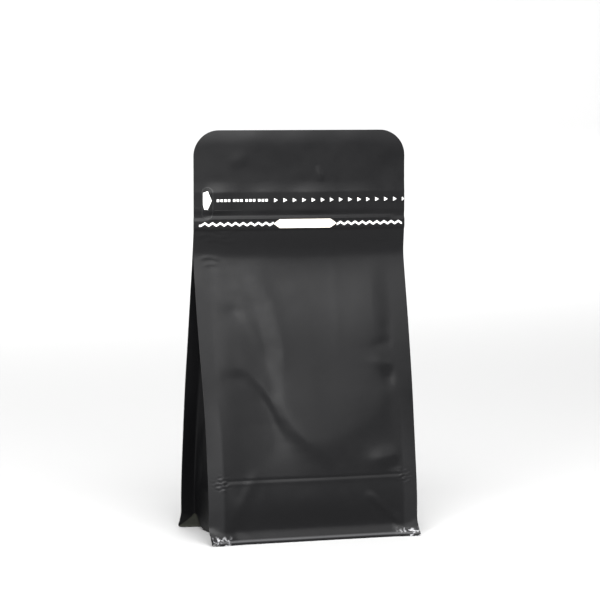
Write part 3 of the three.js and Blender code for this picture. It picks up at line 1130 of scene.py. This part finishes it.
class POUCH_OT_print(bpy.types.Operator):
    """Print the arrow, the triangles, the zig-zag line, the lozenge and the dashes"""

    bl_idname = "pouch.print"
    bl_label = "Print"

    ARROW = ((-61.0, 203.0), (-59.0, 202.8), (-56.6, 208.3), (-58.8, 214.2), (-61.7, 213.2), (-61.7, 206.0))
    EDGE_MARGIN = 0.3

    TRIANGLES = 15
    TRIANGLE_START = -16.5
    TRIANGLE_PITCH = 5.94
    TRIANGLE_BACK = 1.0
    TRIANGLE_TIP = 1.2
    TRIANGLE_HALF_HEIGHT = 1.25
    TRIANGLE_HALF_TIP = 0.1

    ZIGZAG_TURNS = 55
    ZIGZAG_START = -63.1
    ZIGZAG_HALF_PITCH = 4.76 / 2
    ZIGZAG_LOW = 0.85
    ZIGZAG_HIGH = 0.65
    ZIGZAG_HALF_THICKNESS = 0.65
    ZIGZAG_LEFT_END = -17.5
    ZIGZAG_RIGHT_START = 22.3
    ZIGZAG_MARGIN = 0.4
    MERGE_DISTANCE = 0.01

    LOZENGE_ENDS = (-17.8, 22.4)
    LOZENGE_STRAIGHT = (-14.0, 18.4)
    LOZENGE_HALF_HEIGHT = 2.7

    DASH_GROUPS = ((-53.4, 4), (-43.2, 3), (-35.4, 3), (-27.6, 3))  # start, dashes
    DASH_PITCH = 2.3
    DASH_LENGTH = 1.5
    DASH_HALF_HEIGHT = 0.75

    FINE_DASHES = 15
    FINE_DASH_START = -12.6
    FINE_DASH_PITCH = 2.0
    FINE_DASH_LENGTH = 1.3
    FINE_DASH_HALF_HEIGHT = 0.3

    def execute(self, context):
        form = PouchForm(context.scene.pouch_sizes)
        colours = context.scene.pouch_colours
        white = print_material("white_print", colours.print_white)
        cream = print_material("cream_print", colours.print_cream)
        brown = print_material("brown_print", colours.print_brown)
        finish_print(form, flat_shape(self.ARROW), white, "tear_arrow")
        finish_print(form, self.triangles(form), white, "tear_triangles")
        finish_print(form, self.zigzag(form), white, "zip_zigzag")
        finish_print(form, self.lozenge(form), cream, "zip_lozenge")
        finish_print(form, self.dashes(form), white, "tear_dashes")
        finish_print(form, self.fine_dashes(form), brown, "lozenge_dashes", FINE_PRINT_PROUD)
        return {"FINISHED"}

    def triangles(self, form):
        """A row of small triangles that point along the tear band."""
        row = []
        for step in range(self.TRIANGLES):
            x = self.TRIANGLE_START + step * self.TRIANGLE_PITCH
            tip = min(x + self.TRIANGLE_TIP, form.half_width - self.EDGE_MARGIN)
            halves = (self.TRIANGLE_HALF_HEIGHT, self.TRIANGLE_HALF_TIP)
            row.append(flat_bar(x - self.TRIANGLE_BACK, tip, form.tear, *halves))
        return join_as("triangles", row)

    def zigzag(self, form):
        """A thick zig-zag line on both sides of the lozenge, which starts with half a stroke."""
        row = []
        half = self.ZIGZAG_HALF_THICKNESS
        levels = (form.zip - self.ZIGZAG_LOW, form.zip + self.ZIGZAG_HIGH)
        for step in range(-1, self.ZIGZAG_TURNS):
            start = self.ZIGZAG_START + max(step, -0.5) * self.ZIGZAG_HALF_PITCH
            end = self.ZIGZAG_START + (step + 1) * self.ZIGZAG_HALF_PITCH
            at_left = end < self.ZIGZAG_LEFT_END
            at_right = self.ZIGZAG_RIGHT_START < start and end < form.half_width - self.ZIGZAG_MARGIN
            if at_left or at_right:
                first = levels[max(step, 0) % 2]
                last = levels[(step + 1) % 2]
                row.append(
                    flat_shape(
                        ((start, first - half), (end, last - half), (end, last + half), (start, first + half))
                    )
                )
        line = join_as("zigzag", row)
        mesh = bmesh.new()
        mesh.from_mesh(line.data)
        bmesh.ops.remove_doubles(mesh, verts=mesh.verts, dist=self.MERGE_DISTANCE)
        mesh.to_mesh(line.data)
        mesh.free()
        return line

    def lozenge(self, form):
        """A long lozenge over the middle of the zip line."""
        z = form.zip
        left, right = self.LOZENGE_ENDS
        from_x, to_x = self.LOZENGE_STRAIGHT
        low, high = z - self.LOZENGE_HALF_HEIGHT, z + self.LOZENGE_HALF_HEIGHT
        return flat_shape(((left, z), (from_x, low), (to_x, low), (right, z), (to_x, high), (from_x, high)))

    def dashes(self, form):
        """Groups of short dashes between the arrow and the triangles."""
        row = []
        half = self.DASH_HALF_HEIGHT
        for start, count in self.DASH_GROUPS:
            for step in range(count):
                x = start + self.DASH_PITCH * step
                row.append(flat_bar(x, x + self.DASH_LENGTH, form.tear, half, half))
        return join_as("dashes", row)

    def fine_dashes(self, form):
        """A line of fine dashes along the lozenge."""
        row = []
        half = self.FINE_DASH_HALF_HEIGHT
        for step in range(self.FINE_DASHES):
            x = self.FINE_DASH_START + self.FINE_DASH_PITCH * step
            row.append(flat_bar(x, x + self.FINE_DASH_LENGTH, form.zip, half, half))
        return join_as("fine_dashes", row)


class POUCH_OT_tab(bpy.types.Operator):
    """Emboss the pull tab's rim and the slits beside it"""

    bl_idname = "pouch.tab"
    bl_label = "Pull tab"

    CENTRE = (-59.0, 206.8)
    HALF_WIDTH = 3.5
    HALF_HEIGHT = 9.9
    RIM = 0.45
    RIM_POINTS = 48
    INNER_RADIUS = 0.5  # of the ring as it is first drawn, with an outer radius of 1
    NUDGE = 1e-6  # sends the points at mid height to the upper end

    SLITS = ((-66.6, -63.4, 203.9), (-54.7, -38.0, 202.4))  # x from, x to, z
    SLIT_HALF_START = 0.2
    SLIT_HALF_END = 0.12
    THICKNESS = 0.3
    OUTWARD_OFFSET = 0.4

    def execute(self, context):
        form = PouchForm(context.scene.pouch_sizes)
        film = film_material(context.scene.pouch_colours.film, name="tab_film", specular=0.28, roughness=0.38)
        parts = [lay_on_film(form, self.rim(), 0.0)]
        for start, end, z in self.SLITS:
            slit = flat_bar(start, end, z, self.SLIT_HALF_START, self.SLIT_HALF_END)
            parts.append(lay_on_film(form, slit, 0.0))
        tab = join_as("pull_tab", parts)
        face_front(tab)
        thicken(tab, self.THICKNESS, self.OUTWARD_OFFSET)
        finish_piece(tab, film)
        return {"FINISHED"}

    def rim(self):
        """A flat ring with straight sides and round ends."""
        clear_selection()
        bpy.ops.mesh.primitive_circle_add(vertices=self.RIM_POINTS, radius=1.0)
        ring = bpy.context.object
        bpy.ops.object.mode_set(mode="EDIT")
        bpy.ops.mesh.select_all(action="SELECT")
        bpy.ops.mesh.extrude_edges_move()
        bpy.ops.transform.resize(value=(self.INNER_RADIUS, self.INNER_RADIUS, 1.0))
        bpy.ops.object.mode_set(mode="OBJECT")
        middle_x, middle_z = self.CENTRE
        for vertex in ring.data.vertices:
            outside = vertex.co.length > (1.0 + self.INNER_RADIUS) / 2
            radius = self.HALF_WIDTH if outside else self.HALF_WIDTH - self.RIM
            way = vertex.co.normalized()
            straight = math.copysign(self.HALF_HEIGHT - self.HALF_WIDTH, way.y + self.NUDGE)
            vertex.co = Vector((middle_x + radius * way.x, 0.0, middle_z + straight + radius * way.y))
        return ring


class POUCH_OT_stage(bpy.types.Operator):
    """Set the floor, the lights and the camera"""

    bl_idname = "pouch.stage"
    bl_label = "Stage"

    # Camera, in metres, degrees from the front and upwards, and millimetres of lens and sensor
    AIM = Vector((1.15, 0.0, 145.7)) * MM
    AZIMUTH = math.radians(-17.85)
    PITCH = math.radians(4.64)
    DISTANCE = 1.6197
    LENS = 156.0
    SENSOR = 36.0

    # Floor, in metres: a disc with a rim that curves up, given by each ring's way outward and up
    FLOOR_RADIUS = 3.4
    FLOOR_POINTS = 96
    FLOOR_RIM = ((0.10, 0.02), (0.09, 0.06), (0.05, 0.12), (0.0, 0.45))
    FLOOR_COLOUR = (0.46, 0.46, 0.46)
    LEVEL_TOLERANCE = 1e-6

    BACK_AIM = Vector((0.0, 3.2, 0.0))

    def execute(self, context):
        studio = context.scene.pouch_studio
        self.floor()
        self.room(context.scene, studio.surround)
        self.area_light("key_light", (-0.46, -1.31, 1.10), 1.7, 1.4, studio.key_power)
        self.area_light("fill_light", (1.0, -1.30, 0.80), 1.0, 0.9, studio.fill_power)
        self.area_light("top_light", (0.0, -0.55, 1.7), 1.2, 0.6, studio.top_power)
        self.area_light("back_light", (0.0, 2.4, 2.2), 4.0, 1.6, studio.back_power, self.BACK_AIM)
        self.camera(context.scene)
        context.scene.view_settings.view_transform = "Standard"
        return {"FINISHED"}

    def floor(self):
        clear_selection()
        bpy.ops.mesh.primitive_circle_add(
            vertices=self.FLOOR_POINTS, radius=self.FLOOR_RADIUS, fill_type="NGON"
        )
        floor = bpy.context.object
        floor.name = "floor"
        bpy.ops.object.mode_set(mode="EDIT")
        for outward, up in self.FLOOR_RIM:
            self.select_upper_edge(floor)
            bpy.ops.mesh.extrude_edges_move()
            grow = 1.0 + outward / self.FLOOR_RADIUS
            bpy.ops.transform.resize(value=(grow, grow, 1.0))
            bpy.ops.transform.translate(value=(0.0, 0.0, up))
        bpy.ops.object.mode_set(mode="OBJECT")
        bpy.ops.object.shade_smooth_by_angle(angle=SMOOTH_ANGLE)
        material = new_material("pale_floor", self.FLOOR_COLOUR, roughness=0.9, specular=0.1)
        floor.data.materials.append(material)

    def select_upper_edge(self, floor):
        """Selects the open edges at the top of the floor's rim, in edit mode."""
        bpy.ops.mesh.select_all(action="DESELECT")
        shell = bmesh.from_edit_mesh(floor.data)
        top = max(vertex.co.z for vertex in shell.verts) - self.LEVEL_TOLERANCE
        for edge in shell.edges:
            if edge.is_boundary and all(vertex.co.z > top for vertex in edge.verts):
                edge.select_set(True)
        bmesh.update_edit_mesh(floor.data)

    def room(self, scene, surround):
        world = bpy.data.worlds.new("soft_room")
        world.use_nodes = True
        background = world.node_tree.nodes["Background"]
        background.inputs["Color"].default_value = (1.0, 1.0, 1.0, 1.0)
        background.inputs["Strength"].default_value = surround
        scene.world = world

    def area_light(self, name, place, wide, high, power, aim=AIM):
        """A rectangular light, in metres and watts, that looks at its aim."""
        place = Vector(place)
        clear_selection()
        bpy.ops.object.light_add(type="AREA", location=place)
        light = bpy.context.object
        light.name = name
        light.rotation_euler = (aim - place).to_track_quat("-Z", "Y").to_euler()
        light.data.shape = "RECTANGLE"
        light.data.size = wide
        light.data.size_y = high
        light.data.energy = power

    def camera(self, scene):
        level = math.cos(self.PITCH)
        away_x, away_y = math.sin(self.AZIMUTH) * level, -math.cos(self.AZIMUTH) * level
        away = Vector((away_x, away_y, math.sin(self.PITCH)))
        place = self.AIM + away * self.DISTANCE
        clear_selection()
        bpy.ops.object.camera_add(location=place, rotation=(-away).to_track_quat("-Z", "Y").to_euler())
        camera = bpy.context.object
        camera.name = "camera"
        camera.data.lens = self.LENS
        camera.data.sensor_width = self.SENSOR
        scene.camera = camera


OPERATORS = (
    POUCH_OT_panels, POUCH_OT_gussets, POUCH_OT_base, POUCH_OT_tab, POUCH_OT_print, POUCH_OT_stage,
)


class POUCH_PT_builder(bpy.types.Panel):
    """Pouch builder"""

    bl_label = "Flat-Bottom Pouch"
    bl_idname = "POUCH_PT_builder"
    bl_space_type = "VIEW_3D"
    bl_region_type = "UI"
    bl_category = "Pouch"

    def draw(self, context):
        for group in GROUPS:
            box = self.layout.box()
            settings = getattr(context.scene, group)
            for name in settings.__annotations__:
                box.prop(settings, name)
        for operator in OPERATORS:
            self.layout.operator(operator.bl_idname)


GROUPS = {"pouch_sizes": PouchSizes, "pouch_colours": PouchColours, "pouch_studio": PouchStudio}
CLASSES = (*GROUPS.values(), *OPERATORS, POUCH_PT_builder)


def register():
    for cls in CLASSES:
        bpy.utils.register_class(cls)
    for name, group in GROUPS.items():
        setattr(bpy.types.Scene, name, PointerProperty(type=group))


def unregister():
    for name in GROUPS:
        delattr(bpy.types.Scene, name)
    for cls in reversed(CLASSES):
        bpy.utils.unregister_class(cls)


def main():
    register()
    bpy.ops.pouch.panels()
    bpy.ops.pouch.gussets()
    bpy.ops.pouch.base()
    bpy.ops.pouch.tab()
    bpy.ops.pouch.print()
    bpy.ops.pouch.stage()


if __name__ == "__main__":
    main()
